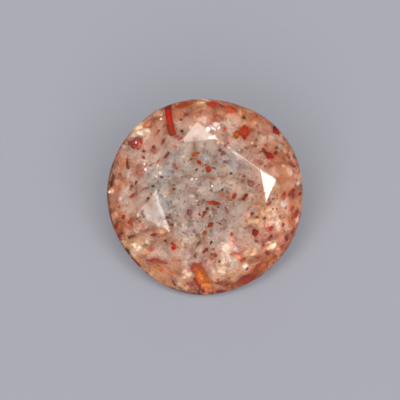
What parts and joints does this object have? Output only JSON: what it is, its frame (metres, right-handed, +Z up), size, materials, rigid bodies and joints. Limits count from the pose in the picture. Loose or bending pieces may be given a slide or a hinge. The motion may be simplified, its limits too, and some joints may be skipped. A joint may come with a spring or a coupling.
{
  "type": "faceted sunstone",
  "caption": "Small round brilliant-cut sunstone with an uneven table, full of copper-red platelets, lying on one pavilion facet; a loose gem to set in jewellery or show.",
  "frame": {"origin": "middle of the stone's bounding box on the surface it lies on; the point is on the resting pavilion facet", "axes": "+Z up from the resting facet, +X along the stone's widest diameter, level; the table faces up and towards -Y, 37 degrees off +Z"},
  "size_m": [0.0074, 0.0062, 0.0048],
  "materials": {
    "stone": "polished facets, clear peach feldspar with copper-red platelets inside"
  },
  "bodies": {
    "root": {"sunstone": "stone"}
  },
  "joints": []
}
